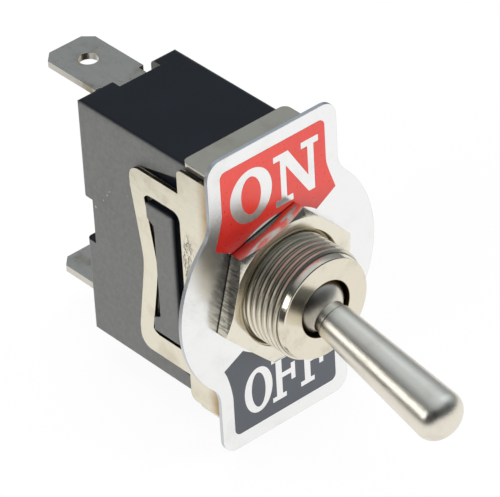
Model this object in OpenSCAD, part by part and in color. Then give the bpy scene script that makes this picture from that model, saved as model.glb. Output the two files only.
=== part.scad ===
// Panel toggle switch, on-off, with a threaded bushing, a sheet steel frame
// and two flat tab terminals. Millimetres.
// X is the width, Y runs from the panel to the rear and Z is up. The origin is
// on the bushing's axis, at the face of the frame that seats on the panel.

/* [Housing] */
// Width of the moulded body
body_w = 13.2; // [12.9:0.1:13.2]
// Height of the moulded body
body_h = 28.6; // [28.2:0.1:28.6]
// How far the rear of the body stands behind the panel face
body_rear = 21.8; // [21.4:0.1:23]
// Radius of the body's long and rear edges
body_edge_r = 0.6; // [0.3:0.1:0.9]
// Radius of the body's front edges, inside the frame's bends
body_front_r = 0.3; // [0.3:0.05:0.5]
// Thickness of the side walls
side_wall = 1.6; // [1.5:0.05:1.7]
// Thickness of the rear wall
rear_wall = 2.5; // [2.4:0.1:3]
// Width of the ledge that the insulator lies on, beside the cavity
rebate_ledge = 0.9; // [0.7:0.05:1]
// Width of that ledge above and below the cavity
rebate_step = 0.5; // [0.3:0.05:0.6]
// How far a side boss stands out
boss_out = 1.1; // [0.8:0.1:1.3]
// Height of a side boss
boss_h = 15.9; // [15:0.1:16.2]
// Front edge of a side boss
boss_front = 6.3; // [6:0.1:6.8]
// Rear edge of a side boss
boss_rear = 10.5; // [10:0.1:10.8]
// Radius of a side boss's edges
boss_edge_r = 0.4; // [0.2:0.1:0.5]
// Floor of the notch in a side boss
boss_notch_floor = 9.2; // [8.8:0.1:9.4]
// Height of the notch at its floor
boss_notch_h = 11.2; // [10:0.2:11.6]
// Extra height of the notch at its mouth
boss_notch_flare = 1.4; // [0.6:0.2:1.8]
// Height of the groove across the rear, where a centre terminal could stand
rear_groove_h = 5.4; // [4:0.2:7]
// Depth of the rear groove and of the pockets over the tabs
rear_groove_depth = 1.5; // [0.8:0.1:1.8]
// Left end of the pocket over a tab
pocket_left = -2; // [-3:0.1:-1]
// Right end of the pocket over a tab
pocket_right = 3.35; // [3.2:0.05:4]
// Thickness of the ribs that back the terminals
rib_t = 2; // [1.2:0.1:2.6]

/* [Frame] */
// Thickness of the frame's sheet
sheet_t = 0.5; // [0.45:0.01:0.55]
// Gap between the frame and the body
frame_gap = 0.2; // [0.1:0.05:0.25]
// Outer radius of the frame's bends
bend_r = 0.9; // [0.7:0.1:1.1]
// Free edge of the side arms
arm_rear = 5.6; // [5.2:0.1:5.8]
// How far the side arms end inside the body's height, at each end
arm_inset = 0.15; // [0.1:0.05:0.3]
// Free edge of the top and bottom flaps
flap_rear = 5.3; // [4.8:0.1:5.6]
// Radius of the corners of the flaps and arms
flap_corner_r = 0.8; // [0.4:0.1:1.2]
// Height of a side loop
loop_h = 22.3; // [21.8:0.1:22.8]
// Height of the window inside a side loop
window_h = 17.2; // [16.8:0.1:17.6]
// Front edge of the bar behind the window
bar_front = 11.05; // [10.9:0.05:11.4]
// Rear edge of the bar behind the window
bar_rear = 13.05; // [12.8:0.05:13.4]
// Outer corner radius of a side loop
loop_corner_r = 1.5; // [0.8:0.1:2]
// Corner radius of the window
window_corner_r = 1; // [0.5:0.1:1.4]
// How far the middle of the bar's rear edge is crimped forward
crimp_rear = 1.27; // [0.8:0.01:1.4]
// How far the middle of the bar's front edge is crimped forward
crimp_front = 1.4; // [0.8:0.01:1.5]
// Half height over which the crimp's point is rounded
crimp_round = 1; // [0.5:0.1:2]

/* [Bushing] */
// Outer radius of the thread
thread_r = 5.95; // [5.9:0.05:6]
// Radius of the plain collar at the nose
nose_r = 5.65; // [5.4:0.05:5.7]
// Length of the relief behind the thread, under the nut
relief_len = 0.9; // [0.8:0.1:1.2]
// Length of the thread's open root at the nut's face
root_len = 0.6; // [0.6:0.05:0.8]
// Radius of the relief and of the root
relief_r = 5.4; // [5.2:0.05:5.5]
// Length of the plain collar, with its rounded edge
nose_len = 0.9; // [0.6:0.1:1.2]
// Radius of the nose's rounded edge
nose_edge_r = 0.35; // [0.2:0.05:0.5]
// Length of the bushing in front of the frame
bushing_len = 7.3; // [7.1:0.1:7.6]
// Radius of the hole that the lever comes through
mouth_r = 3.13; // [3.05:0.01:3.2]
// Radius of the shank that is staked in the frame
shank_r = 4.6; // [4.5:0.05:4.7]
// Overhang of the staked lip
stake_over = 0.3; // [0.2:0.05:0.35]
// Length of the staked lip
stake_len = 0.4; // [0.3:0.05:0.45]
// Gap between the shank and the holes around it
shank_gap = 0.02; // [0.01:0.01:0.04]

/* [Nut and legend plate] */
// Width of the nut across its flats
nut_af = 15; // [14.5:0.1:15.5]
// Thickness of the nut
nut_t = 1.85; // [1.7:0.05:2.2]
// Angle of the nut's first corner above the X axis
nut_turn = 14; // [0:1:59]
// Gap between the nut's bore and the thread
nut_gap = 0.03; // [0.02:0.01:0.05]
// Radius at which the nut's front chamfer starts
nut_chamfer_r = 7.1; // [6.8:0.1:7.4]
// Thickness of the legend plate
plate_t = 0.45; // [0.4:0.01:0.6]
// Width of the legend plate's wings
plate_w = 16.8; // [16:0.1:17.6]
// Height of the legend plate
plate_h = 35.4; // [34:0.2:36]
// Radius of the legend plate's middle
plate_disc_r = 12.8; // [12:0.1:13.2]
// Corner radius of the wings
plate_corner_r = 1.8; // [1:0.1:2.4]
// Radius of the fillet between wing and middle
plate_fillet_r = 3; // [2:0.1:3.6]
// Gap between the legend plate's hole and the thread
plate_gap = 0.1; // [0.05:0.01:0.2]

/* [Lever] */
// Distance of the lever's pivot in front of the frame
pivot_front = 4.8; // [4.7:0.05:4.9]
// Angle of the lever to either side of straight
throw_deg = 13.5; // [12.5:0.1:13.5]
// Radius of the lever's ball
ball_r = 3.45; // [3.4:0.01:3.46]
// Radius of the groove in front of the ball
groove_r = 1.85; // [1.6:0.05:1.9]
// Start of the handle's shoulder, from the pivot
shoulder_at = 3.7; // [3.5:0.05:4]
// Radius of the handle at its shoulder
handle_r = 2; // [1.9:0.05:2.1]
// Radius of the handle's end
handle_end_r = 2.73; // [2.4:0.01:2.9]
// Length of the handle from the pivot
handle_len = 21; // [18:0.5:24]
// Length of the rounded end, as a share of its radius
end_flatten = 0.78; // [0.6:0.01:1]
// Radius of the lever's tail
tail_r = 1.8; // [1.7:0.05:1.8]
// End of the tail, from the pivot
tail_len = 12.6; // [12:0.1:12.8]
// Radius of the pivot pin
pin_r = 0.75; // [0.6:0.05:0.8]
// Half length of the pivot pin
pin_reach = 3.9; // [3.8:0.05:3.95]

/* [Contact mechanism] */
// Radius of the plunger
plunger_r = 1.2; // [1.1:0.05:1.25]
// Distance of the plunger's round nose from the pivot
plunger_reach = 14; // [13.8:0.1:14]
// Length of the plunger's straight part
plunger_len = 4.8; // [4:0.1:5.2]
// Thickness of the spring's wire
wire_d = 0.3; // [0.24:0.02:0.34]
// Turns in the spring
spring_turns = 8; // [6:1:9]
// Angle of the rocker to either side of straight
rocker_deg = 8; // [6:0.5:8]
// Distance of the fulcrum behind the panel face
fulcrum_y = 12; // [11.9:0.05:12.2]
// Radius of the fulcrum's bead
fulcrum_r = 1; // [0.9:0.05:1.05]
// Thickness of the rocker's strip and of the terminals
strip_t = 0.8; // [0.7:0.05:0.85]
// Width of the rocker
rocker_w = 5; // [4:0.2:6]
// Half length of the rocker
rocker_reach = 9.8; // [9.5:0.1:10]
// Front face of the rocker's arms
arm_front = 9.7; // [9.6:0.05:9.8]
// Height of the contacts below the fulcrum
contact_drop = 8.5; // [8:0.1:8.6]
// Radius of a contact's face
contact_r = 1.5; // [1.2:0.1:1.6]
// Thickness of a contact's head
contact_t = 0.75; // [0.6:0.05:0.8]
// Radius of the moving contact's domed face
dome_r = 3; // [2.5:0.1:4]
// Radius of a contact's stem
stem_r = 0.8; // [0.6:0.05:0.9]
// Thickness of the insulator
insulator_t = 0.4; // [0.3:0.05:0.4]

/* [Terminals] */
// Width of a terminal's tab
tab_w = 6.3; // [6.1:0.1:6.3]
// Distance of the tab's end behind the panel face
tab_end = 31.4; // [30:0.1:32]
// Wall between a tab and the top or bottom of the body
tab_cover = 1.06; // [1.04:0.01:1.12]
// Cut at each corner of a tab's end
tab_corner = 1.05; // [0.6:0.05:1.4]
// Radius of the wire hole in a tab
wire_hole_r = 1.1; // [0.8:0.05:1.2]
// Distance of the wire hole from the tab's end
wire_hole_in = 3.7; // [3:0.1:4.5]
// Width of a terminal's neck
neck_w = 5.06; // [4.6:0.02:5.4]
// Rear end of the neck
neck_rear = 22.8; // [22.4:0.1:23.6]

/* [Clearances] */
// Running gap between moving pieces
run_gap = 0.05; // [0.03:0.01:0.08]
// Gap left between pieces that meet at the end of their travel
meet_gap = 0.08; // [0.06:0.01:0.12]
// Gap around pieces that are fixed in another
fix_gap = 0.01; // [0.01:0.01:0.02]

/* [Hidden] */
$fn = 64;
far = 60;
lap = 0.5;
side_x = body_w / 2;
half_h = body_h / 2;
arm_h = body_h - 2 * arm_inset;
tab_out = half_h - tab_cover;
cavity_x = side_x - side_wall;
cavity_z = tab_out + fix_gap;
cavity_rear = body_rear - rear_wall;
groove_floor = body_rear - rear_groove_depth;
frame_x = side_x + frame_gap + sheet_t;
frame_z = half_h + frame_gap + sheet_t;
flap_w = body_w + 2 * frame_gap;
pivot = [0, -pivot_front, 0];
socket_r = ball_r + run_gap;
slot_r = pin_r + run_gap;
plunger_bore_r = plunger_r + run_gap;
plunger_back = plunger_reach - plunger_len;
spring_front = 3;
nut_front = plate_t + nut_t;
cap_len = handle_end_r * end_flatten;
// The nose of the plunger, seen from the rocker, moves on an arc through three points
nose_mid_y = plunger_reach - pivot_front;
nose_end = [plunger_reach * sin(throw_deg), plunger_reach * cos(throw_deg) - pivot_front];
nose_end_z = nose_end[0] * cos(rocker_deg) + (nose_end[1] - fulcrum_y) * sin(rocker_deg);
nose_end_y = fulcrum_y + (nose_end[1] - fulcrum_y) * cos(rocker_deg) - nose_end[0] * sin(rocker_deg);
nose_sag = nose_mid_y - nose_end_y;
nose_path_r = (nose_end_z * nose_end_z + nose_sag * nose_sag) / (2 * nose_sag);
saddle_y = nose_mid_y - nose_path_r;
saddle_r = nose_path_r + plunger_r + meet_gap;
saddle_half = 3.9;
hub_half = 2;
hub_rear = fulcrum_y + 0.35;
rocker_groove_r = fulcrum_r + run_gap;
arm_back = arm_front + strip_t;
// The dome's centre, carried round the fulcrum to the place where the contacts meet
dome_y = arm_back + contact_t - dome_r;
dome_closed_y = fulcrum_y + (dome_y - fulcrum_y) * cos(rocker_deg) + contact_drop * sin(rocker_deg);
fixed_face = dome_closed_y + dome_r + meet_gap;
load_blade_front = fixed_face + contact_t;
common_blade_front = 14;
blade_inner = contact_drop - contact_r - 0.4;
tab_in = tab_out - strip_t;
stem_head_r = 1.2;
stem_head_t = 0.3;

// An outline in X and Z, carried back along Y from y to y + depth
module along_y(y, depth) {
    translate([0, y + depth, 0]) rotate([90, 0, 0]) linear_extrude(height = depth) children();
}

// An outline in Y and Z, carried along X from x to x + depth
module along_x(x, depth) {
    translate([x, 0, 0]) rotate([90, 0, 90]) linear_extrude(height = depth) children();
}

// A rectangle about the origin with round corners
module round_rect(w, h, r) {
    square([w - 2 * r, h], center = true);
    square([w, h - 2 * r], center = true);
    for (x = [-1, 1], y = [-1, 1])
        translate([x * (w / 2 - r), y * (h / 2 - r)]) circle(r);
}

// A rectangle from front to rear along the outline's first direction, with round rear corners
module round_ended(front, rear, h, r, front_r = 0) {
    translate([front + front_r, -h / 2]) square([rear - r - front - front_r, h]);
    translate([front, -h / 2 + front_r]) square([rear - r - front, h - 2 * front_r]);
    translate([front, -h / 2 + r]) square([rear - front, h - 2 * r]);
    for (z = [-1, 1])
        translate([rear - r, z * (h / 2 - r)]) circle(r);
    if (front_r > 0)
        for (z = [-1, 1])
            translate([front + front_r, z * (h / 2 - front_r)]) circle(front_r);
}

// The lever's own pieces are drawn with the pivot at the origin and the tip along -Y
module on_lever() {
    translate(pivot) rotate([throw_deg, 0, 0]) children();
}

// A solid turned about the lever's axis, from points of [radius, distance to the rear]
module turned(points) {
    rotate([-90, 0, 0]) rotate_extrude() polygon(points);
}

// The rocker's pieces are drawn straight, and rest turned to the open side
module on_rocker() {
    translate([0, fulcrum_y, 0]) rotate([-rocker_deg, 0, 0]) translate([0, -fulcrum_y, 0]) children();
}

module body_block() {
    depth = body_rear - sheet_t;
    intersection() {
        along_y(sheet_t, depth) round_rect(body_w, body_h, body_edge_r);
        translate([0, 0, -half_h]) linear_extrude(height = body_h)
            rotate(90) round_ended(sheet_t, body_rear, body_w, body_edge_r, body_front_r);
        along_x(-side_x, body_w) round_ended(sheet_t, body_rear, body_h, body_edge_r, body_front_r);
    }
}

module side_boss() {
    reach = side_x + boss_out;
    mid_y = (boss_front + boss_rear) / 2;
    boss_d = boss_rear - boss_front;
    notch_half = boss_notch_h / 2;
    open_y = boss_rear + lap;
    flare = boss_notch_flare / 2 / (boss_rear - boss_notch_floor);
    open_half = notch_half + flare * (open_y - boss_notch_floor);
    difference() {
        intersection() {
            along_x(side_x - lap, boss_out + lap)
                translate([mid_y, 0]) round_rect(boss_d, boss_h, boss_edge_r);
            translate([0, 0, -boss_h / 2]) linear_extrude(height = boss_h)
                translate([0, mid_y]) round_rect(2 * reach, boss_d, boss_edge_r);
            along_y(boss_front, boss_d) round_rect(2 * reach, boss_h, boss_edge_r);
        }
        along_x(side_x, far) polygon([
            [boss_notch_floor, -notch_half], [open_y, -open_half],
            [open_y, open_half], [boss_notch_floor, notch_half]]);
    }
}

// The pocket and the slot that a tab needs in the rear of the body
module tab_room() {
    slot_w = tab_w + 2 * fix_gap;
    translate([-slot_w / 2, cavity_rear - lap, tab_in - fix_gap])
        cube([slot_w, far, strip_t + 2 * fix_gap]);
    translate([pocket_left, groove_floor, tab_out - lap])
        cube([pocket_right - pocket_left, far, far]);
}

module housing() {
    color([0.13, 0.14, 0.17]) {
        difference() {
            union() {
                body_block();
                side_boss();
                mirror([1, 0, 0]) side_boss();
            }
            translate([-cavity_x, 0, -cavity_z])
                cube([2 * cavity_x, cavity_rear, 2 * cavity_z]);
            translate([-cavity_x - rebate_ledge, 0, -cavity_z - rebate_step])
                cube([2 * (cavity_x + rebate_ledge), sheet_t + insulator_t, 2 * (cavity_z + rebate_step)]);
            translate([-far / 2, groove_floor, -rear_groove_h / 2])
                cube([far, far, rear_groove_h]);
            tab_room();
            mirror([0, 0, 1]) tab_room();
        }
        terminal_rib(common_blade_front + strip_t, 0);
        terminal_rib(load_blade_front + strip_t, -contact_drop - contact_r);
    }
}

module terminal_rib(front, z) {
    translate([-cavity_x - lap, front, z - rib_t / 2])
        cube([2 * (cavity_x + lap), cavity_rear + lap - front, rib_t]);
}

// How far the crimp has moved an edge forward, at a height z
function crimp(depth, z) =
    let (rise = sqrt(z * z + crimp_round * crimp_round) - crimp_round,
         full = sqrt(pow(window_h / 2, 2) + crimp_round * crimp_round) - crimp_round)
    depth * (1 - min(rise / full, 1));

module loop_outline() {
    steps = 24;
    half = window_h / 2;
    difference() {
        round_ended(0, bar_rear, loop_h, loop_corner_r);
        polygon(concat(
            [for (i = [-steps : steps]) [bar_rear - crimp(crimp_rear, half * i / steps), half * i / steps]],
            [[bar_rear + lap, half], [bar_rear + lap, -half]]));
        translate([(arm_rear + bar_front) / 2, 0])
            round_rect(bar_front - arm_rear, window_h, window_corner_r);
    }
}

// The crimp pushes sheet forward into the window
module crimp_fill() {
    steps = 24;
    half = window_h / 2;
    polygon(concat(
        [for (i = [-steps : steps]) [bar_front - crimp(crimp_front, half * i / steps), half * i / steps]],
        [[bar_front + lap / 4, half], [bar_front + lap / 4, -half]]));
}

module arm_outline() {
    round_ended(0, arm_rear, arm_h, flap_corner_r);
    loop_outline();
    crimp_fill();
}

// A bent channel, open to the rear, with its walls at x = half_w
module channel(half_w, rear, h) {
    translate([0, 0, -h / 2]) linear_extrude(height = h) difference() {
        rotate(-90) round_ended(-rear, 0, 2 * half_w, bend_r);
        rotate(-90) round_ended(-rear - lap, -sheet_t, 2 * (half_w - sheet_t), bend_r - sheet_t);
    }
}

module mounting_bracket() {
    color([0.86, 0.83, 0.76]) difference() {
        union() {
            intersection() {
                channel(frame_x, bar_rear + lap, arm_h);
                along_x(-far / 2, far) arm_outline();
            }
            intersection() {
                rotate([0, 90, 0]) channel(frame_z, flap_rear, flap_w);
                translate([0, 0, -far / 2]) linear_extrude(height = far)
                    rotate(90) round_ended(0, flap_rear, flap_w, flap_corner_r);
            }
        }
        along_y(-lap, sheet_t + 2 * lap) circle(shank_r + shank_gap);
    }
}

module bushing() {
    slot_len = pivot_front + sheet_t + insulator_t + stake_len + lap;
    shank_rear = sheet_t + insulator_t;
    color([0.84, 0.80, 0.72]) difference() {
        union() {
            along_y(-bushing_len + nose_len, bushing_len - nose_len - relief_len) circle(thread_r);
            along_y(-relief_len - lap, relief_len + lap) circle(relief_r);
            along_y(-bushing_len + nose_edge_r, nose_len) circle(nose_r);
            along_y(-bushing_len, nose_len) circle(nose_r - nose_edge_r);
            translate([0, -bushing_len + nose_edge_r, 0]) rotate([90, 0, 0])
                rotate_extrude() translate([nose_r - nose_edge_r, 0]) circle(nose_edge_r);
            along_y(-lap, lap + shank_rear + stake_len) circle(shank_r);
            along_y(shank_rear, stake_len) circle(shank_r + stake_over);
        }
        along_y(-nut_front - root_len, root_len) difference() {
            circle(thread_r + lap);
            circle(relief_r);
        }
        along_y(-far, far) circle(mouth_r);
        translate(pivot) sphere(socket_r);
        along_y(-pivot_front, far) circle(socket_r);
        translate(pivot) rotate([0, 90, 0])
            cylinder(r = slot_r, h = 2 * (pin_reach + run_gap), center = true);
        translate([-pin_reach - run_gap, -pivot_front, -slot_r])
            cube([2 * (pin_reach + run_gap), slot_len, 2 * slot_r]);
    }
}

module hex_nut() {
    corner_r = nut_af / 2 / cos(30);
    cone_len = nut_t + lap;
    color([0.88, 0.85, 0.78]) difference() {
        intersection() {
            along_y(-nut_front, nut_t) rotate(nut_turn) circle(corner_r, $fn = 6);
            turned([[0, -nut_front], [nut_chamfer_r, -nut_front],
                    [nut_chamfer_r + cone_len * 2, -nut_front + cone_len], [0, -nut_front + cone_len]]);
        }
        along_y(-nut_front - lap, nut_t + 2 * lap) circle(thread_r + nut_gap);
        turned([[0, -nut_front - lap], [thread_r + 2 * lap, -nut_front - lap],
                [thread_r, -nut_front + lap], [0, -nut_front + lap]]);
    }
}

// Points along an arc about [x, z], from one angle to another
function arc(x, z, r, from, to, steps) =
    [for (i = [0 : steps]) let (a = from + (to - from) * i / steps) [x + r * cos(a), z + r * sin(a)]];

// The plate's outline in one quarter: the round middle, the concave fillet, the wing's corner
module plate_outline() {
    fillet_x = plate_w / 2 + plate_fillet_r;
    fillet_z = sqrt(pow(plate_disc_r + plate_fillet_r, 2) - fillet_x * fillet_x);
    meet = atan2(fillet_z, fillet_x);
    quarter = concat(
        arc(0, 0, plate_disc_r, 0, meet, 16),
        arc(fillet_x, fillet_z, plate_fillet_r, 180 + meet - meet / 8, 180, 8),
        arc(plate_w / 2 - plate_corner_r, plate_h / 2 - plate_corner_r, plate_corner_r, 0, 90, 8));
    last = len(quarter) - 1;
    difference() {
        polygon(concat(
            quarter,
            [for (i = [last : -1 : 1]) [-quarter[i][0], quarter[i][1]]],
            [for (i = [0 : last]) [-quarter[i][0], -quarter[i][1]]],
            [for (i = [last : -1 : 1]) [quarter[i][0], -quarter[i][1]]]));
        circle(thread_r + plate_gap);
    }
}

module legend_plate() {
    color([0.92, 0.92, 0.9]) along_y(-plate_t, plate_t) plate_outline();
}

module front_insulator() {
    w = 2 * (cavity_x + rebate_ledge - fix_gap);
    h = 2 * (cavity_z + rebate_step - fix_gap);
    color([0.45, 0.3, 0.18]) along_y(sheet_t, insulator_t) difference() {
        square([w, h], center = true);
        circle(shank_r + shank_gap);
    }
}

// A terminal's flat tab with its neck, seen from above, from front to its cut end
module tab_outline(front) {
    half = tab_w / 2;
    difference() {
        union() {
            translate([-neck_w / 2, front]) square([neck_w, tab_end - wire_hole_in - front]);
            polygon([[-half, neck_rear], [half, neck_rear], [half, tab_end - tab_corner],
                     [half - tab_corner, tab_end], [tab_corner - half, tab_end],
                     [-half, tab_end - tab_corner]]);
        }
        translate([0, tab_end - wire_hole_in]) circle(wire_hole_r);
    }
}

module common_terminal() {
    color([0.8, 0.78, 0.7]) {
        translate([0, 0, tab_in]) linear_extrude(height = strip_t) tab_outline(common_blade_front);
        translate([-neck_w / 2, common_blade_front, -strip_t / 2])
            cube([neck_w, strip_t, tab_in + strip_t]);
        translate([-neck_w / 2, fulcrum_y, -strip_t / 2])
            cube([neck_w, common_blade_front + strip_t - fulcrum_y, strip_t]);
        translate([0, fulcrum_y, 0]) rotate([0, 90, 0])
            cylinder(r = fulcrum_r, h = neck_w, center = true);
    }
}

module load_terminal() {
    color([0.8, 0.78, 0.7]) difference() {
        union() {
            translate([0, 0, -tab_out]) linear_extrude(height = strip_t) tab_outline(load_blade_front);
            translate([-neck_w / 2, load_blade_front, -tab_out])
                cube([neck_w, strip_t, tab_out - blade_inner]);
        }
        translate([0, 0, -contact_drop]) along_y(load_blade_front - lap, far) circle(stem_r);
    }
}

module fixed_contact() {
    color([0.85, 0.85, 0.85]) translate([0, 0, -contact_drop]) {
        along_y(fixed_face, contact_t) circle(contact_r);
        along_y(fixed_face, contact_t + strip_t) circle(stem_r - fix_gap);
    }
}

// The lever's outline as [radius, distance to the rear] from the end of its tail to the groove
module lever_turning() {
    neck_at = sqrt(ball_r * ball_r - groove_r * groove_r);
    cap_at = handle_len - cap_len;
    steps = 16;
    shoulder_round = 0.12;
    turned(concat(
        [[0, 0], [groove_r, 0], [groove_r, -shoulder_at], [handle_r - shoulder_round, -shoulder_at],
         [handle_r, -shoulder_at - shoulder_round]],
        [for (i = [0 : steps - 1])
            [handle_end_r * cos(90 * i / steps), -cap_at - cap_len * sin(90 * i / steps)]],
        [[0, -handle_len]]));
    sphere(ball_r);
    turned([[0, -neck_at], [tail_r, -neck_at], [tail_r, tail_len], [0, tail_len]]);
}

module lever() {
    color([0.8, 0.78, 0.74]) on_lever() difference() {
        lever_turning();
        turned([[0, spring_front], [plunger_bore_r, spring_front],
                [plunger_bore_r, far], [0, far]]);
        rotate([0, 90, 0]) cylinder(r = pin_r + fix_gap, h = far, center = true);
    }
}

module lever_pin() {
    color([0.7, 0.7, 0.7]) on_lever()
        rotate([0, 90, 0]) cylinder(r = pin_r, h = 2 * pin_reach, center = true);
}

module plunger() {
    color([0.9, 0.86, 0.75]) on_lever() {
        turned([[0, plunger_back], [plunger_r, plunger_back],
                [plunger_r, plunger_reach], [0, plunger_reach]]);
        translate([0, plunger_reach, 0]) sphere(plunger_r);
    }
}

// A helix of wire between the bottom of the lever's bore and the back of the plunger
module plunger_spring() {
    sides = 6;
    per_turn = 16;
    rings = spring_turns * per_turn;
    wire_r = wire_d / 2;
    coil_r = plunger_bore_r - 2 * run_gap - wire_r;
    from = spring_front + wire_r + fix_gap;
    to = plunger_back - wire_r - fix_gap;
    points = [for (i = [0 : rings], j = [0 : sides - 1])
        let (turn = 360 * i / per_turn, side = 360 * j / sides, reach = coil_r + wire_r * cos(side))
        [reach * cos(turn), from + (to - from) * i / rings + wire_r * sin(side), reach * sin(turn)]];
    walls = [for (i = [0 : rings - 1], j = [0 : sides - 1])
        [i * sides + j, (i + 1) * sides + j,
         (i + 1) * sides + (j + 1) % sides, i * sides + (j + 1) % sides]];
    caps = [[for (j = [0 : sides - 1]) j], [for (j = [0 : sides - 1]) (rings + 1) * sides - 1 - j]];
    color([0.75, 0.75, 0.78]) on_lever() polyhedron(points, concat(walls, caps));
}

module rocker_outline() {
    difference() {
        union() {
            intersection() {
                translate([saddle_y, 0]) circle(saddle_r + strip_t);
                translate([saddle_y, -saddle_half]) square([far, 2 * saddle_half]);
            }
            translate([arm_front, -rocker_reach]) square([strip_t, 2 * rocker_reach]);
            translate([arm_back, -hub_half]) square([hub_rear - arm_back, 2 * hub_half]);
        }
        translate([saddle_y, 0]) circle(saddle_r);
        translate([fulcrum_y, 0]) circle(rocker_groove_r);
    }
}

module rocker_contact() {
    color([0.78, 0.5, 0.32]) on_rocker() difference() {
        along_x(-rocker_w / 2, rocker_w) rocker_outline();
        translate([0, 0, -contact_drop]) along_y(0, far) circle(stem_r);
    }
}

module moving_contact() {
    edge_t = contact_t - (dome_r - sqrt(dome_r * dome_r - contact_r * contact_r));
    color([0.85, 0.85, 0.85]) on_rocker() translate([0, 0, -contact_drop]) {
        along_y(arm_front - stem_head_t, stem_head_t) circle(stem_head_r);
        along_y(arm_front - stem_head_t, stem_head_t + strip_t + edge_t) circle(stem_r - fix_gap);
        intersection() {
            along_y(arm_back, contact_t) circle(contact_r);
            translate([0, dome_y, 0]) sphere(dome_r);
        }
    }
}

housing();
mounting_bracket();
bushing();
hex_nut();
legend_plate();
front_insulator();
common_terminal();
load_terminal();
fixed_contact();
lever();
lever_pin();
plunger();
plunger_spring();
rocker_contact();
moving_contact();
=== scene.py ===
import math

import bpy
from mathutils import Matrix, Vector


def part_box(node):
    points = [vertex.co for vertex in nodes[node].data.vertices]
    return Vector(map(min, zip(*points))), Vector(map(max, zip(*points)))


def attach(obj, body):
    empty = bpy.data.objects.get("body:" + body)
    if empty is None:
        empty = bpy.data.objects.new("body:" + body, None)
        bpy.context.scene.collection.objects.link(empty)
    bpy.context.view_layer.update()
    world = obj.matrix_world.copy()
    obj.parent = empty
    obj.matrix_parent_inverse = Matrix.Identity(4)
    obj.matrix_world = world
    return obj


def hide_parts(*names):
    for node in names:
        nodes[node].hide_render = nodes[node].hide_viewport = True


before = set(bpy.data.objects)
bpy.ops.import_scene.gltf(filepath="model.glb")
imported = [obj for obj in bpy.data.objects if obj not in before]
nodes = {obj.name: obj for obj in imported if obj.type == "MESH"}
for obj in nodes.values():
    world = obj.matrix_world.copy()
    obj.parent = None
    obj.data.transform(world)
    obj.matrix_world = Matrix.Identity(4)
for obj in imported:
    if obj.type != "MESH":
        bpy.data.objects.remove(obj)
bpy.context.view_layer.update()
mm = 0.001
print("frame loaded:", len(nodes), "nodes")


def startFresh():
    if bpy.context.mode != "OBJECT":
        bpy.ops.object.mode_set(mode="OBJECT")
    bpy.ops.object.select_all(action="DESELECT")


def pickOnly(piece):
    startFresh()
    piece.select_set(True)
    bpy.context.view_layer.objects.active = piece


def nameLast(name):
    piece = bpy.context.object
    piece.name = name
    piece.data.name = name
    piece.data.materials.clear()
    return piece


def settle(piece):
    # doubles first, then the normals, and the place goes into the mesh
    pickOnly(piece)
    bpy.ops.object.transform_apply(location=True, rotation=True, scale=True)
    bpy.ops.object.mode_set(mode="EDIT")
    bpy.ops.mesh.select_all(action="SELECT")
    bpy.ops.mesh.remove_doubles(threshold=0.0004 * mm)
    bpy.ops.mesh.normals_make_consistent(inside=False)
    bpy.ops.object.mode_set(mode="OBJECT")
    return piece


def carve(piece, cutter, operation="DIFFERENCE"):
    pickOnly(piece)
    step = piece.modifiers.new("carve", "BOOLEAN")
    step.operation = operation
    step.solver = "EXACT"
    step.object = cutter
    bpy.ops.object.modifier_apply(modifier=step.name)
    bpy.data.objects.remove(cutter)
    return piece


def dropLoose(piece):
    pickOnly(piece)
    bpy.ops.object.mode_set(mode="EDIT")
    bpy.ops.mesh.select_mode(type="VERT")
    bpy.ops.mesh.select_all(action="SELECT")
    bpy.ops.mesh.dissolve_degenerate(threshold=0.0002 * mm)
    bpy.ops.mesh.select_all(action="SELECT")
    bpy.ops.mesh.delete_loose()
    bpy.ops.object.mode_set(mode="OBJECT")


def traceOutline(name, points, back, thick):
    # one vertex is pulled round the outline, then the face is given its thickness
    startFresh()
    bpy.ops.mesh.primitive_plane_add(size=0.2 * mm, location=(0, 0, 0))
    piece = nameLast(name)
    bpy.ops.object.mode_set(mode="EDIT")
    bpy.ops.mesh.select_mode(type="VERT")
    bpy.ops.mesh.select_all(action="SELECT")
    bpy.ops.mesh.merge(type="CENTER")
    here = Vector((points[0][0] * mm, back * mm, points[0][1] * mm))
    bpy.ops.transform.translate(value=here)
    for x, z in points[1:]:
        there = Vector((x * mm, back * mm, z * mm))
        bpy.ops.mesh.extrude_region_move(TRANSFORM_OT_translate={"value": there - here})
        here = there
    bpy.ops.mesh.select_all(action="SELECT")
    bpy.ops.mesh.edge_face_add()
    bpy.ops.mesh.extrude_region_move(TRANSFORM_OT_translate={"value": (0, -thick * mm, 0)})
    bpy.ops.object.mode_set(mode="OBJECT")
    return settle(piece)


def arcPoints(centre, radius, start, end, steps):
    turns = [math.radians(start + (end - start) * i / steps) for i in range(steps + 1)]
    return [(centre[0] + radius * math.cos(t), centre[1] + radius * math.sin(t)) for t in turns]


def oval(name, centre, half, back, thick):
    startFresh()
    bpy.ops.mesh.primitive_cylinder_add(
        vertices=72, radius=mm, depth=thick * mm,
        location=(centre[0] * mm, (back - thick / 2) * mm, centre[1] * mm),
        rotation=(math.pi / 2, 0, 0))
    piece = nameLast(name)
    bpy.ops.transform.resize(value=(half[0], 1, half[1]))
    return settle(piece)


def drum(name, radius, rear, front, sides=96, frontRadius=None):
    # a round or many-sided bar along the depth, which may taper
    startFresh()
    bpy.ops.mesh.primitive_cone_add(
        vertices=sides, radius1=radius * mm, radius2=(frontRadius or radius) * mm,
        depth=(rear - front) * mm,
        location=(0, (rear + front) / 2 * mm, 0), rotation=(math.pi / 2, 0, 0))
    return settle(nameLast(name))


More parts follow.
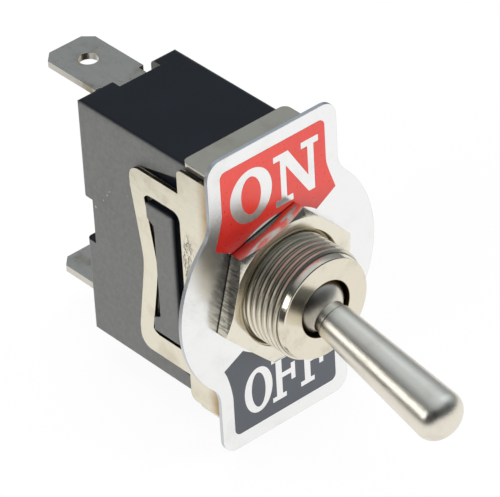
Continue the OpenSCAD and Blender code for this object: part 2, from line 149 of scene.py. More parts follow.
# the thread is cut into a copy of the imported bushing; sizes in millimetres
threadCut = {"pitch": 0.794, "turns": 7, "steps": 72, "root": 5.57, "crest": 5.95, "lip": 5.985,
             "half": 0.31, "start": -7.0, "crease": 32, "roundSides": 144,
             "fillBehind": 0.2, "fillAhead": 0.9, "fillBore": 5.0,
             "noseRear": -6.4, "noseFront": -7.8, "noseAround": 7.0,
             "coneRear": -6.35, "coneFront": -7.4, "coneWide": 5.7, "coneNarrow": 5.5}


def threadCutter():
    # a three-cornered section, wound up the axis
    startFresh()
    bpy.ops.mesh.primitive_circle_add(vertices=3, radius=mm, location=(0, 0, 0))
    cutter = nameLast("thread_cutter")
    root, lip, half = threadCut["root"], threadCut["lip"], threadCut["half"]
    for vertex, (r, y) in zip(cutter.data.vertices, [(root, 0), (lip, -half), (lip, half)]):
        vertex.co = (r * mm, (threadCut["start"] + y) * mm, 0)
    wind = cutter.modifiers.new("wind", "SCREW")
    wind.axis = "Y"
    wind.screw_offset = threadCut["pitch"] * mm
    wind.iterations = threadCut["turns"]
    wind.steps = threadCut["steps"]
    wind.render_steps = threadCut["steps"]
    bpy.ops.object.modifier_apply(modifier="wind")
    # both open ends are filled
    bpy.ops.object.mode_set(mode="EDIT")
    bpy.ops.mesh.select_all(action="DESELECT")
    bpy.ops.mesh.select_mode(type="EDGE")
    bpy.ops.mesh.select_non_manifold()
    bpy.ops.mesh.fill()
    bpy.ops.object.mode_set(mode="OBJECT")
    return settle(cutter)


def threadedBushing():
    pickOnly(nodes["bushing"])
    bpy.ops.object.duplicate()
    piece = settle(nameLast("threaded_bushing"))

    # the stretch at the nut's face is made up to the full thread again
    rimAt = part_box("hex_nut")[0].y / mm
    collar = drum("thread_fill", threadCut["crest"],
                  rimAt + threadCut["fillBehind"], rimAt - threadCut["fillAhead"])
    carve(collar, drum("thread_bore", threadCut["fillBore"], rimAt + 1, rimAt - 2))
    carve(piece, collar, "UNION")

    # the plain collar draws in a little towards the nose
    shell = drum("nose_shell", threadCut["noseAround"], threadCut["noseRear"], threadCut["noseFront"])
    carve(shell, drum("nose_cone", threadCut["coneWide"], threadCut["coneRear"], threadCut["coneFront"],
                      threadCut["roundSides"], threadCut["coneNarrow"]))
    carve(piece, shell)

    carve(piece, threadCutter())
    dropLoose(settle(piece))
    # the copy's own normals would slant over the new faces
    bpy.ops.mesh.customdata_custom_splitnormals_clear()
    bpy.ops.object.shade_smooth_by_angle(angle=math.radians(threadCut["crease"]))
    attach(piece, "switch_base")
    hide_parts("bushing")
    return piece


# the nut's corners are turned off by a cone, and its hole is sunk at the front
nutCut = {"flats": 15.0, "turn": 14, "faceRadius": 7.72, "coneSlope": 2.0, "hole": 5.98,
          "sink": 0.45, "sinkInset": 0.02, "proud": 0.01, "roundSides": 144, "edge": 0.07, "crease": 25}


def plainNut():
    low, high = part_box("hex_nut")
    rear, front = high.y / mm, low.y / mm
    face, hole, sides = nutCut["faceRadius"], nutCut["hole"], nutCut["roundSides"]
    piece = drum("nickel_nut", nutCut["flats"] / 2 / math.cos(math.radians(30)), rear, front, 6)
    # the first corner of the bar points down or up, so it is turned to its own place
    corner = piece.data.vertices[0].co
    first = math.degrees(math.atan2(corner.z, corner.x))
    pickOnly(piece)
    piece.data.transform(Matrix.Rotation(-math.radians(nutCut["turn"] - first), 4, "Y"))
    rearRadius = face + (rear - front) * nutCut["coneSlope"]
    carve(piece, drum("corner_cone", rearRadius, rear, front, sides, face), "INTERSECT")
    carve(piece, drum("nut_hole", hole, rear + 1, front - 1, sides))
    carve(piece, drum("nut_sink", hole - nutCut["sinkInset"], front + nutCut["sink"],
                      front - nutCut["proud"], sides, hole + nutCut["sink"]))
    settle(piece)
    soften = piece.modifiers.new("soften", "BEVEL")
    soften.width = nutCut["edge"] * mm
    soften.segments = 2
    soften.limit_method = "ANGLE"
    soften.angle_limit = math.radians(nutCut["crease"])
    bpy.ops.object.modifier_apply(modifier="soften")
    dropLoose(piece)
    bpy.ops.object.shade_smooth_by_angle(angle=math.radians(nutCut["crease"]))
    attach(piece, "switch_base")
    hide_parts("hex_nut")
    return piece


# the two painted fields leave their letters bare
fieldPaint = {"back": -0.445, "thick": 0.035, "half": 6.8, "corner": 0.7, "bareRing": 7.97,
              "foot": (1.6, 1.2), "cutBack": 1, "cutThick": 4, "counterBack": 2, "counterThick": 6}
onPaint = {"name": "on_field", "top": 16.1, "sign": 1, "tip": (7.9, 7.45), "inner": (5.0, 5.8),
           "flare": [(6.8, 11.3), (6.86, 10.8), (7.0, 10.2), (7.18, 9.6), (7.38, 9.0), (7.62, 8.3)],
           "letterO": {"centre": (-3.0, 11.8), "outer": (2.75, 3.09), "inner": (1.26, 2.16)}}
offPaint = {"name": "off_field", "top": 16.0, "sign": -1, "tip": (7.75, 7.35), "inner": (5.2, 6.08),
            "flare": [(6.8, 11.3), (6.84, 10.8), (6.95, 10.1), (7.08, 9.4), (7.26, 8.7), (7.45, 8.05)],
            "letterO": {"centre": (-3.48, -11.86), "outer": (1.88, 2.78), "inner": (0.89, 2.11)},
            "secondF": 3.8}

letterN = [(0.0, 14.7), (1.95, 14.7), (4.45, 10.55), (4.45, 13.9), (3.63, 13.9), (3.63, 14.7), (5.95, 14.7),
           (5.95, 13.9), (5.3, 13.9), (5.3, 8.55), (4.45, 8.55), (1.63, 13.0), (1.63, 9.4), (2.43, 9.4),
           (2.43, 8.62), (0.08, 8.62), (0.08, 9.4), (0.85, 9.4), (0.85, 13.95), (0.0, 13.95)]
letterF = [(-1.69, -14.64), (0.2, -14.64), (0.2, -14.0), (-0.3, -14.0), (-0.3, -12.11), (0.87, -12.11),
           (0.87, -12.98), (1.47, -12.98), (1.47, -10.83), (0.87, -10.83), (0.87, -11.44), (-0.3, -11.44),
           (-0.3, -9.78), (1.3, -9.78), (1.3, -10.44), (1.9, -10.44), (1.9, -9.14), (-1.69, -9.14),
           (-1.69, -9.78), (-1.14, -9.78), (-1.14, -14.0), (-1.69, -14.0)]


def fieldOutline(paint):
    # half of the outline runs from the outer corner to the ring, and its mirror image closes it
    c = fieldPaint["corner"]
    corner = arcPoints((fieldPaint["half"] - c, paint["top"] - c), c, 90, 0, 5)
    inner = paint["inner"]
    foot = (inner[0] - fieldPaint["foot"][0], inner[1] - fieldPaint["foot"][1])
    side = corner + paint["flare"] + [paint["tip"], inner, foot]
    outline = side + [(-x, z) for x, z in reversed(side)]
    return [(x, paint["sign"] * z) for x, z in outline]


def paintedField(paint, letters):
    piece = traceOutline(paint["name"], fieldOutline(paint), fieldPaint["back"], fieldPaint["thick"])
    bare = fieldPaint["bareRing"]
    carve(piece, oval("ring", (0, 0), (bare, bare), fieldPaint["cutBack"], fieldPaint["cutThick"]))
    for letter in letters:
        carve(piece, letter)
    settle(piece)
    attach(piece, "switch_base")
    return piece


def roundLetter(shape):
    centre = shape["centre"]
    letter = oval("letter_o", centre, shape["outer"], fieldPaint["cutBack"], fieldPaint["cutThick"])
    counter = oval("counter", centre, shape["inner"], fieldPaint["counterBack"], fieldPaint["counterThick"])
    return carve(letter, counter)


def straightLetter(name, points, shift=0.0):
    moved = [(x + shift, z) for x, z in points]
    return traceOutline(name, moved, fieldPaint["cutBack"], fieldPaint["cutThick"])


threaded = threadedBushing()
print("bushing threaded:", len(threaded.data.polygons), "faces")
nut = plainNut()
print("nut turned:", len(nut.data.polygons), "faces")
onField = paintedField(onPaint, [roundLetter(onPaint["letterO"]), straightLetter("letter_n", letterN)])
offField = paintedField(offPaint, [roundLetter(offPaint["letterO"]), straightLetter("letter_f", letterF),
                                   straightLetter("letter_f", letterF, offPaint["secondF"])])
print("fields painted:", len(onField.data.polygons), len(offField.data.polygons), "faces")


class Wire:
    # a socket that can be added, multiplied and so on
    def __init__(self, board, socket):
        self.board = board
        self.socket = socket

    def calc(self, operation, *values):
        return self.board.add("Math", {"operation": operation}, dict(enumerate(values)))

    def __add__(self, other):
        return self.calc("ADD", self, other)

    __radd__ = __add__

    def __sub__(self, other):
        return self.calc("SUBTRACT", self, other)

    def __rsub__(self, other):
        return self.calc("SUBTRACT", other, self)

    def __mul__(self, other):
        return self.calc("MULTIPLY", self, other)

    __rmul__ = __mul__

    def __truediv__(self, other):
        return self.calc("DIVIDE", self, other)

    def __neg__(self):
        return self.calc("MULTIPLY", self, -1.0)

    def __pow__(self, other):
        return self.calc("POWER", self, other)

    def __abs__(self):
        return self.calc("ABSOLUTE", self)

    def clipped(self):
        return self.calc("MINIMUM", self.calc("MAXIMUM", self, 0.0), 1.0)


class Board:
    # the node board of one material, or of the world
    def __init__(self, owner):
        self.owner = owner
        owner.use_nodes = True
        self.tree = owner.node_tree
        self.tree.nodes.clear()

    def add(self, kind, settings=None, sockets=None, out=0):
        node = self.tree.nodes.new("ShaderNode" + kind)
        for key, value in (settings or {}).items():
            if key == "stops":
                while len(node.color_ramp.elements) < len(value):
                    node.color_ramp.elements.new(0.5)
                for stop, (at, colour) in zip(node.color_ramp.elements, value):
                    stop.position = at
                    stop.color = colour
            else:
                setattr(node, key, value)
        for key, value in (sockets or {}).items():
            if isinstance(value, Wire):
                self.tree.links.new(value.socket, node.inputs[key])
            else:
                node.inputs[key].default_value = value
        return Wire(self, node.outputs[out]) if node.outputs else None

    def here(self):
        return self.add("TexCoord", out="Object")

    def stretched(self, scale, turn=(0, 0, 0)):
        return self.add("Mapping", {"vector_type": "TEXTURE"},
                        {"Vector": self.here(), "Rotation": turn, "Scale": [1 / s for s in scale]})

    def noise(self, place, scale, detail, roughness):
        return self.add("TexNoise", {},
                        {"Vector": place, "Scale": scale, "Detail": detail, "Roughness": roughness})

    def band(self, value, low, high):
        return self.add("MapRange", {"interpolation_type": "SMOOTHSTEP"},
                        {"Value": value, "From Min": low, "From Max": high, "To Min": 0.0, "To Max": 1.0})

    def span(self, value, ends):
        # a band whose ends are given in millimetres
        return self.band(value, ends[0] * mm, ends[1] * mm)

    def blend(self, factor, first, second):
        return self.add("Mix", {"data_type": "RGBA"}, {0: factor, 6: first, 7: second}, out=2)

    def parts(self, vector):
        split = self.add("SeparateXYZ", {}, {0: vector})
        return [Wire(self, split.socket.node.outputs[i]) for i in range(3)]

    def axes(self):
        return self.parts(self.here())

    def facing(self):
        return self.parts(self.add("TexCoord", out="Normal"))

    def relief(self, height, distance, strength=1.0, edge=0.0):
        sockets = {"Height": height, "Distance": distance * mm, "Strength": strength}
        if edge:
            sockets["Normal"] = self.add("Bevel", {"samples": 6}, {"Radius": edge * mm})
        return self.add("Bump", {}, sockets)

    def finish(self, **sockets):
        named = {key.replace("_", " "): value for key, value in sockets.items()}
        shader = self.add("BsdfPrincipled", {}, named)
        self.add("OutputMaterial", {}, {"Surface": shader})
        return self.owner


def newFinish(look):
    return Board(bpy.data.materials.new(look["name"]))


def tone(*colour):
    # a colour as seen on a screen, made linear
    linear = [((c / 255 + 0.055) / 1.055) ** 2.4 if c > 10 else c / 255 / 12.92 for c in colour]
    return (*linear, 1.0)


def dress(piece, material):
    piece.data.materials.clear()
    piece.data.materials.append(material)


def dullRim(board, look, colour, rough):
    # the cut edge of the sheet is duller than its face, and the edges that face right are darker still,
    # which is painted shade
    face = board.facing()
    rim = 1.0 - board.band(abs(face[1]), *look["rimFacing"])
    right = board.band(face[0], *look["rightFacing"])
    # painted shade: edges facing right take the darker colour
    edge = board.blend(right, tone(*look["rim"]), tone(*look["rimRightShade"]))
    return board.blend(rim, colour, edge), rough + rim * look["rimRough"]


def threadOilAndShade(board, look, cloud, colour, rough):
    # painted shade in the thread's roots and on the wall of the mouth, made deeper by old oil
    x, y, z = board.axes()
    radius = (x * x + z * z) ** 0.5
    onThread = board.span(y, look["threadSpan"])
    root = (1.0 - board.span(radius, look["valleySpan"])) * board.span(radius, look["coreSpan"]) * onThread
    bore = 1.0 - board.span(radius, look["boreSpan"])
    crest = board.span(radius, look["crestSpan"]) * onThread
    # painted shade with old oil darkens the roots and the mouth's wall
    least, more = look["oilAndShade"]
    colour = board.blend(root * (least + cloud * more), colour, tone(*look["valley"]))
    colour = board.blend(bore, colour, tone(*look["bore"]))
    rootRough, boreRough, crestRough = look["oilRough"]
    return colour, rough + root * rootRough + bore * boreRough + crest * crestRough


def ballGrimeAndShade(board, look, cloud, colour):
    # painted shade darkens the ball on its left side, and old grime, deeper on that shaded left, lies where
    # the handle leaves it
    grimeAndShade = look["grimeAndShade"]
    spot = [axis - at * mm for axis, at in zip(board.axes(), grimeAndShade["pivot"])]
    reach = (spot[0] * spot[0] + spot[1] * spot[1] + spot[2] * spot[2]) ** 0.5
    ball = 1.0 - board.span(reach, grimeAndShade["ballSpan"])
    neck = (1.0 - board.span(reach, grimeAndShade["neckSpan"])) * (1.0 - ball)
    shaded = board.span(spot[2] * grimeAndShade["lean"] - spot[0], grimeAndShade["shadedSpan"])
    worn = board.band(cloud, *grimeAndShade["wornSpan"])
    # painted shade on the ball, most of all to its left; grime with painted shade at the neck
    onBall = ball * (grimeAndShade["onBall"][0] + shaded * grimeAndShade["onBall"][1])
    onNeck = neck * (grimeAndShade["onNeck"][0] + worn * grimeAndShade["onNeck"][1]) * (grimeAndShade["neckLit"] + shaded)
    return board.blend((onBall + onNeck).clipped(), colour, tone(*grimeAndShade["colour"]))


def streakedShadedFlats(board, look, colour, rough):
    # painted shade in dark streaks on the nut's flats that face left and right, and a painted shadow line
    # where the nut meets the plate
    streakAndShadow = look["streakAndShadow"]
    face = board.facing()
    flat = 1.0 - board.band(abs(face[1]), *streakAndShadow["flatFacing"])
    steep = board.band(abs(face[0]), *streakAndShadow["steepFacing"])
    streak = board.noise(board.stretched(streakAndShadow["stretch"]), *streakAndShadow["weave"])
    # painted shade, streaked, on the flats facing left and right
    streakShade = board.band(streak, *streakAndShadow["span"]) * steep * streakAndShadow["depth"]
    # painted shadow line along the nut's rear edge, where it meets the plate
    line = board.span(board.axes()[1], streakAndShadow["lineSpan"]) * flat
    colour = board.blend(streakShade, colour, tone(*streakAndShadow["colour"]))
    colour = board.blend(line, colour, tone(*streakAndShadow["colour"]))
    return colour, rough + steep * streakAndShadow["rough"]


def rawEdges(board, look, cloud, colour, rough):
    # raw steel at the cut edges of the side loops, and a stain at the front bends
    cut, stain = look["cut"], look["stain"]
    x, y, z = board.axes()
    outside = board.span(abs(x), cut["outsideSpan"])
    edge = 1.0 - board.band(abs(board.facing()[0]), *cut["facing"])
    raw = edge * outside * board.span(y, cut["loopSpan"])
    bend = board.span(y, stain["span"]) * (stain["least"] + cloud * stain["more"])
    colour = board.blend(bend.clipped() * outside, colour, tone(*stain["colour"]))
    colour = board.blend(raw, colour, tone(*cut["colour"]))
    return colour, rough + raw * cut["rough"]


def toolDents(board, look, colour, height):
    # shallow dents in an oval patch beside the front bends
    marks = look["marks"]
    x, y, z = board.axes()
    back = (y / mm - marks["centre"][0]) / marks["half"][0]
    rise = (z / mm - marks["centre"][1]) / marks["half"][1]
    near = 1.0 - board.band(back ** 2.0 + rise ** 2.0, *marks["fade"])
    dents = board.noise(board.stretched(marks["stretch"]), *marks["weave"])
    dent = board.band(dents, *marks["span"]) * near
    colour = board.blend(dent * marks["tint"], colour, tone(*look["cut"]["colour"]))
    return colour, height + dent * marks["depth"]


# what all the metals share: scale, detail and roughness of each noise, and how the dirt lies
metalWeave = {"grain": (1000.0, 4.0, 0.65), "cloud": (230.0, 3.0, 0.6), "speck": (2600.0, 2.0, 0.7),
              "cloudSpan": (0.5, 0.75), "speckSpan": (0.62, 0.72), "speckShare": 0.6,
              "dirtRough": 0.12, "relief": 0.02}


def platedMetal(look):
    board = newFinish(look)
    turn = look.get("turn", (0, 0, 0))
    grain = board.noise(board.stretched(look["stretch"], turn), *metalWeave["grain"])
    cloud = board.noise(board.here(), *metalWeave["cloud"])
    speck = board.noise(board.here(), *metalWeave["speck"])
    specks = board.band(speck, *metalWeave["speckSpan"]) * metalWeave["speckShare"]
    dirt = (board.band(cloud, *metalWeave["cloudSpan"]) + specks) * look["tarnish"]
    colour = board.blend(dirt.clipped(), tone(*look["colour"]), tone(*look["dull"]))
    rough = (grain - 0.5) * look["roughSpread"] + look["rough"] + dirt * metalWeave["dirtRough"]
    height = grain * look["grain"] + speck * look["speck"]
    if "rim" in look:
        colour, rough = dullRim(board, look, colour, rough)
    if "valley" in look:
        colour, rough = threadOilAndShade(board, look, cloud, colour, rough)
    if "grimeAndShade" in look:
        colour = ballGrimeAndShade(board, look, cloud, colour)
    if "streakAndShadow" in look:
        colour, rough = streakedShadedFlats(board, look, colour, rough)
    if "cut" in look:
        colour, rough = rawEdges(board, look, cloud, colour, rough)
        colour, height = toolDents(board, look, colour, height)
    return board.finish(
        Base_Color=colour, Metallic=1.0, Roughness=rough.clipped(),
        Normal=board.relief(height, metalWeave["relief"], 1.0, look["edge"]))


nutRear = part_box("hex_nut")[1].y / mm
leverLook = {"name": "polished_lever", "colour": (233, 227, 213), "dull": (188, 182, 166),
             "tarnish": 0.25, "rough": 0.34, "roughSpread": 0.22, "stretch": (6.0, 0.3, 1.2),
             "turn": (math.radians(13.5), 0, 0), "grain": 0.35, "speck": 0.05, "edge": 0.08,
             # the darkening on the ball is painted shade, and on the neck it is grime with painted shade
             "grimeAndShade": {"colour": (74, 62, 42), "pivot": (0, -4.8, 0), "ballSpan": (3.3, 4.1),
                       "neckSpan": (4.1, 5.3), "lean": 0.3, "shadedSpan": (0.3, 2.2),
                       "wornSpan": (0.4, 0.6), "onBall": (0.03, 0.55), "onNeck": (0.1, 0.6),
                       "neckLit": 0.3}}
nutLook = {"name": "nickel_nut", "colour": (232, 226, 210), "dull": (176, 166, 146), "tarnish": 0.3,
           "rough": 0.2, "roughSpread": 0.2, "stretch": (3.0, 0.4, 3.0), "grain": 0.45, "speck": 0.05,
           "edge": 0.0,
           # one dark colour for the painted shade on the side flats and the painted shadow line
           "streakAndShadow": {"colour": (34, 30, 25), "lineSpan": (nutRear - 0.16, nutRear - 0.08),
                    "flatFacing": (0.3, 0.6), "steepFacing": (0.75, 0.92), "stretch": (3.0, 0.35, 3.0),
                    "weave": (1500.0, 3.0, 0.6), "span": (0.4, 0.62), "depth": 0.55, "rough": 0.08}}
# the valley and bore colours are painted shade together with old oil
bushingLook = {"name": "nickel_thread", "colour": (228, 220, 202), "dull": (150, 138, 112),
               "tarnish": 0.35, "rough": 0.18, "roughSpread": 0.16, "stretch": (0.8, 3.0, 0.8),
               "grain": 0.2, "speck": 0.05, "edge": 0.04, "valley": (26, 23, 17),
               "valleySpan": (5.58, 5.84), "coreSpan": (5.0, 5.3), "crestSpan": (5.86, 5.93),
               "threadSpan": (-6.55, -6.35), "bore": (92, 74, 42), "boreSpan": (3.15, 3.22),
               "oilAndShade": (0.55, 0.6), "oilRough": (0.4, 0.15, 0.26)}
plateLook = {"name": "satin_plate", "colour": (244, 244, 243), "dull": (218, 217, 215),
             "tarnish": 0.25, "rough": 0.24, "roughSpread": 0.14, "stretch": (1.4, 1.4, 1.4),
             "grain": 0.05, "speck": 0.01, "edge": 0.08, "rim": (212, 214, 216),
             # the darker rim colour for edges facing right is painted shade
             "rimRightShade": (132, 134, 138), "rimFacing": (0.3, 0.9), "rightFacing": (0.1, 0.5),
             "rimRough": 0.25}
bracketLook = {"name": "plated_frame", "colour": (228, 221, 202), "dull": (176, 160, 128),
               "tarnish": 0.3, "rough": 0.22, "roughSpread": 0.16, "stretch": (1.0, 0.6, 3.0),
               "grain": 0.12, "speck": 0.06, "edge": 0.1,
               "cut": {"colour": (72, 66, 50), "outsideSpan": (6.92, 6.97), "facing": (0.3, 0.7),
                       "loopSpan": (2.0, 2.4), "rough": 0.25},
               "stain": {"colour": (164, 130, 78), "span": (3.0, 1.1), "least": 0.25, "more": 1.1},
               "marks": {"centre": (4.5, 2.8), "half": (1.0, 4.6), "fade": (0.3, 1.0),
                         "stretch": (1.0, 1.6, 0.7), "weave": (1500.0, 3.0, 0.6), "span": (0.42, 0.6),
                         "tint": 0.16, "depth": 3.0}}
terminalLook = {"name": "tinned_tab", "colour": (206, 202, 192), "dull": (140, 122, 92), "tarnish": 0.75,
                "rough": 0.3, "roughSpread": 0.2, "stretch": (2.5, 0.4, 1.0), "grain": 0.1, "speck": 0.05,
                "edge": 0.1}
brassLook = {"name": "contact_brass", "colour": (214, 176, 104), "dull": (150, 112, 62), "tarnish": 0.5,
             "rough": 0.3, "roughSpread": 0.2, "stretch": (2.0, 0.6, 1.0), "grain": 0.1, "speck": 0.04,
             "edge": 0.06}
silverLook = {"name": "contact_silver", "colour": (226, 224, 218), "dull": (150, 146, 138), "tarnish": 0.4,
              "rough": 0.25, "roughSpread": 0.2, "stretch": (1.0, 1.0, 1.0), "grain": 0.06, "speck": 0.05,
              "edge": 0.05}
steelLook = {"name": "spring_steel", "colour": (176, 178, 182), "dull": (110, 104, 96), "tarnish": 0.3,
             "rough": 0.28, "roughSpread": 0.2, "stretch": (1.0, 3.0, 1.0), "grain": 0.1, "speck": 0.03,
             "edge": 0.03}

for look, names in ((leverLook, ["lever"]), (plateLook, ["legend_plate"]),
                    (bracketLook, ["mounting_bracket"]),
                    (terminalLook, ["common_terminal", "load_terminal"]),
                    (brassLook, ["rocker_contact"]), (silverLook, ["fixed_contact", "moving_contact"]),
                    (steelLook, ["lever_pin", "plunger_spring"])):
    metal = platedMetal(look)
    for name in names:
        dress(nodes[name], metal)
dress(threaded, platedMetal(bushingLook))
dress(nut, platedMetal(nutLook))
print("metals dressed")


# what the two paints share
paintWeave = {"cloud": (180.0, 3.0, 0.6), "peel": (2200.0, 2.0, 0.5), "lean": 0.5, "shadeShare": 0.85,
              "cloudSpan": (0.35, 0.7), "cloudShare": 0.15, "peelSpan": (0.2, 0.8), "peelRough": 0.1,
              "gloss": 0.6, "coatRough": 0.16, "relief": (0.004, 0.5)}


def fieldColour(look):
    board = newFinish(look)
    cloud = board.noise(board.here(), *paintWeave["cloud"])
    peel = board.noise(board.here(), *paintWeave["peel"])
    # painted shade: the lower left corner is the darkest
    x, y, z = board.axes()
    lit = board.span(z + x * paintWeave["lean"], look["shade"])
    patch = board.band(cloud, *paintWeave["cloudSpan"]) * paintWeave["cloudShare"]
    deep = (1.0 - lit) * paintWeave["shadeShare"] + patch
    rough = board.band(peel, *paintWeave["peelSpan"]) * paintWeave["peelRough"] + look["rough"]
    return board.finish(
        Base_Color=board.blend(deep, tone(*look["colour"]), tone(*look["deep"])), Roughness=rough,
        Specular_IOR_Level=paintWeave["gloss"], Coat_Weight=look["coat"],
        Coat_Roughness=paintWeave["coatRough"], Normal=board.relief(peel, *paintWeave["relief"]))


def mattSidesWithSheenAndShade(board, look, cloud, colour, rough):
    # the long sides are matt from the mould and their grey is partly painted sheen, but not in the dark
    # band beside the loops' ends, which is painted shade
    matt, slot, dust = look["matt"], look["slot"], look["dust"]
    side = board.band(abs(board.facing()[0]), *matt["facing"])
    x, y, z = board.axes()
    over = abs(z)
    # painted shade: a band just above each loop's top bar keeps the black
    crest = slot["top"] * mm - (y - slot["topAt"] * mm) * slot["slope"]
    shadeBand = board.span(crest - over, slot["topSpan"]) * board.span(over, slot["lowSpan"]) \
        * board.span(y, slot["rearSpan"])
    spots = board.band(board.noise(board.here(), *matt["weave"]), *matt["span"])
    mottle = board.blend(spots, tone(*matt["dark"]), tone(*matt["light"]))
    motes = board.band(board.noise(board.here(), *dust["weave"]), *dust["span"])
    lying = motes * board.band(cloud, *dust["where"]) * dust["share"]
    mottle = board.blend(lying, mottle, dust["colour"])
    return board.blend(side * (1.0 - shadeBand), colour, mottle), rough + side * matt["rough"]


# what the moulded pieces share
mouldWeave = {"cloud": (150.0, 4.0, 0.6), "grain": (3200.0, 3.0, 0.6), "paleSpan": (0.45, 0.8),
              "paleShare": 0.4, "roughSpan": (0.3, 0.8), "roughSpread": 0.12, "grainRough": 0.06,
              "coatRough": 0.12, "relief": (0.02, 0.5)}


def moulding(look):
    board = newFinish(look)
    cloud = board.noise(board.here(), *mouldWeave["cloud"])
    grain = board.noise(board.here(), *mouldWeave["grain"])
    pale = board.band(cloud, *mouldWeave["paleSpan"]) * mouldWeave["paleShare"]
    colour = board.blend(pale.clipped(), tone(*look["colour"]), tone(*look["worn"]))
    rough = board.band(cloud, *mouldWeave["roughSpan"]) * mouldWeave["roughSpread"] \
        + look["rough"] + grain * mouldWeave["grainRough"]
    if "matt" in look:
        colour, rough = mattSidesWithSheenAndShade(board, look, cloud, colour, rough)
    return board.finish(
        Base_Color=colour, Roughness=rough.clipped(), Specular_IOR_Level=look["gloss"],
        Coat_Weight=look["coat"], Coat_Roughness=mouldWeave["coatRough"],
        Normal=board.relief(grain * 0.5 + cloud * 0.5, *mouldWeave["relief"], look["edge"]))


redLook = {"name": "red_paint", "colour": (222, 46, 26), "deep": (168, 10, 2), "shade": (4.5, 11.0),
           "rough": 0.26, "coat": 0.6}
slateLook = {"name": "slate_paint", "colour": (61, 67, 77), "deep": (54, 59, 68), "shade": (-18.0, -6.0),
             "rough": 0.28, "coat": 0.5}
bodyLook = {"name": "moulded_body", "colour": (9, 11, 18), "worn": (18, 20, 28), "rough": 0.24,
            "gloss": 0.3, "coat": 0.0, "edge": 0.12,
            # the sides' grey is partly painted sheen from the bright floor, partly the matt finish
            "matt": {"dark": (88, 88, 85), "light": (97, 97, 94), "weave": (1700.0, 4.0, 0.75),
                     "span": (0.3, 0.7), "facing": (0.5, 0.95), "rough": 0.14},
            "slot": {"top": 12.2, "topAt": 6.72, "slope": 0.23, "topSpan": (-0.05, 0.05),
                     "lowSpan": (9.9, 10.0), "rearSpan": (12.1, 11.9)},
            "dust": {"colour": (0.75, 0.75, 0.73, 1.0), "weave": (2100.0, 1.0, 0.4),
                     "span": (0.74, 0.78), "where": (0.5, 0.65), "share": 0.8}}
fibreLook = {"name": "fibre_sheet", "colour": (96, 78, 58), "worn": (126, 106, 80), "rough": 0.6,
             "gloss": 0.3, "coat": 0.0, "edge": 0.05}
plungerLook = {"name": "plunger_nylon", "colour": (206, 200, 184), "worn": (224, 220, 208), "rough": 0.4,
               "gloss": 0.5, "coat": 0.0, "edge": 0.08}

dress(onField, fieldColour(redLook))
dress(offField, fieldColour(slateLook))
dress(nodes["housing"], moulding(bodyLook))
dress(nodes["front_insulator"], moulding(fibreLook))
dress(nodes["plunger"], moulding(plungerLook))
print("paint and mouldings dressed")


stageLook = {"floor": -17.78, "floorSize": 1600.0, "glow": 0.92, "paper": (0.86, 0.86, 0.85, 1),
             "paperReach": (47, 71), "fan": 0.45, "fanSpan": (0, 30), "gloom": 0.05,
             "gloomColour": (0.96, 0.97, 1, 1)}


def layFloor():
    startFresh()
    bpy.ops.mesh.primitive_plane_add(
        size=stageLook["floorSize"] * mm, location=(0, 0, stageLook["floor"] * mm))
    floor = settle(nameLast("studio_floor"))
    board = newFinish({"name": "studio_floor"})
    rays = board.add("LightPath").socket.node.outputs
    kinds = ("Is Camera Ray", "Is Glossy Ray", "Is Transmission Ray")
    camera, glossy, passing = [Wire(board, rays[kind]) for kind in kinds]
    # to the left, mirrors see the white paper end and the dark room behind it
    x, y, z = board.axes()
    reach = board.span((x * x + y * y) ** 0.5, stageLook["paperReach"])
    away = board.span(-x - abs(y) * stageLook["fan"], stageLook["fanSpan"]) * reach
    bright = (camera + glossy + passing).clipped()
    white = board.add("Emission", {}, {"Color": (1, 1, 1, 1), "Strength": 1.0})
    matt = board.add("BsdfDiffuse", {}, {"Color": stageLook["paper"]})
    paper = board.add("MixShader", {}, {0: bright * stageLook["glow"], 1: matt, 2: white})
    gloom = board.add("Emission", {}, {"Color": stageLook["gloomColour"], "Strength": stageLook["gloom"]})
    mixed = board.add("MixShader", {}, {0: glossy * away * (1.0 - camera), 1: paper, 2: gloom})
    board.add("OutputMaterial", {}, {"Surface": mixed})
    dress(floor, board.owner)


# places and sizes in millimetres, power in watts; each light looks at the switch
lights = [
    {"name": "side_box", "place": (-430, 130, 150), "size": (250, 170), "power": 0.42, "mirrored": True},
    {"name": "side_fill", "place": (-380, -60, 160), "size": (300, 300), "power": 1.6, "mirrored": False},
    {"name": "front_fill", "place": (340, -330, 130), "size": (300, 300), "power": 1.6, "mirrored": False},
    {"name": "top_fill", "place": (0, 40, 460), "size": (300, 300), "power": 0.9, "mirrored": False}]


def softLight(light):
    startFresh()
    bpy.ops.object.light_add(type="AREA", location=[v * mm for v in light["place"]])
    lamp = bpy.context.object
    lamp.name = light["name"]
    lamp.data.shape = "RECTANGLE"
    lamp.data.size = light["size"][0] * mm
    lamp.data.size_y = light["size"][1] * mm
    lamp.data.energy = light["power"]
    lamp.visible_glossy = light["mirrored"]
    lamp.rotation_euler = Vector(light["place"]).to_track_quat("Z", "Y").to_euler()


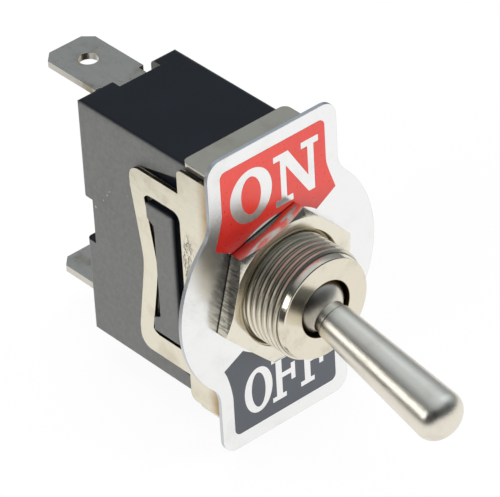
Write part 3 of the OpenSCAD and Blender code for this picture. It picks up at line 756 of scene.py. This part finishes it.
# dim above, dark to the left, in front and along the horizon, and a pale window high on the right
roomLook = {"level": 0.35, "left": 0.31, "leftSpan": (0.1, 0.5), "front": 0.75, "frontSpan": (0.35, 0.75),
            "low": 0.8, "lowSpan": (0.0, 0.16), "window": 0.45, "windowSpan": (0.84, 0.98),
            "windowAt": (0.65, 0.76), "ceiling": 0.38, "ceilingSpan": (0.66, 0.82),
            "sky": (0.88, 0.97, 1.07, 1)}


def lightRoom():
    world = bpy.data.worlds.new("studio")
    bpy.context.scene.world = world
    board = Board(world)
    x, y, z = board.parts(board.add("TexCoord"))
    low = 1.0 - board.band(z, *roomLook["lowSpan"])
    left = board.band(-x, *roomLook["leftSpan"])
    front = board.band(-y, *roomLook["frontSpan"])
    window = board.band(x * roomLook["windowAt"][0] + z * roomLook["windowAt"][1], *roomLook["windowSpan"])
    ceiling = board.band(z, *roomLook["ceilingSpan"])
    walls = (roomLook["level"] - left * roomLook["left"]) * (1.0 - front * roomLook["front"]) \
        * (1.0 - low * roomLook["low"])
    level = walls + window * roomLook["window"] + ceiling * roomLook["ceiling"]
    seen = board.add("LightPath")
    sky = board.add("Background", {}, {"Color": roomLook["sky"], "Strength": level})
    plain = board.add("Background", {}, {"Color": (1, 1, 1, 1)})
    both = board.add("MixShader", {}, {0: seen, 1: sky, 2: plain})
    board.add("OutputWorld", {}, {"Surface": both})


cameraLook = {"place": (-227.452, -271.271, 260.764), "right": (0.74748154, -0.66255201, -0.04791839),
              "down": (-0.41884631, -0.41408805, -0.80814532),
              "ahead": (0.51559588, 0.62414415, -0.58703064),
              "sensor": 36, "lens": 319.1, "shift": (0.0034, -0.0044), "near": 0.01}


def placeCamera():
    startFresh()
    bpy.ops.object.camera_add(location=(0, 0, 0))
    camera = bpy.context.object
    camera.name = "studio_camera"
    right, down, ahead = [Vector(cameraLook[way]) for way in ("right", "down", "ahead")]
    turned = Matrix((right, -down, -ahead)).transposed().to_4x4()
    camera.matrix_world = Matrix.Translation(Vector(cameraLook["place"]) * mm) @ turned
    camera.data.sensor_width = cameraLook["sensor"]
    camera.data.lens = cameraLook["lens"]
    camera.data.shift_x, camera.data.shift_y = cameraLook["shift"]
    camera.data.clip_start = cameraLook["near"]
    bpy.context.scene.camera = camera


layFloor()
lightRoom()
for light in lights:
    softLight(light)
placeCamera()
bpy.context.scene.view_settings.view_transform = "Standard"
print("stage set")
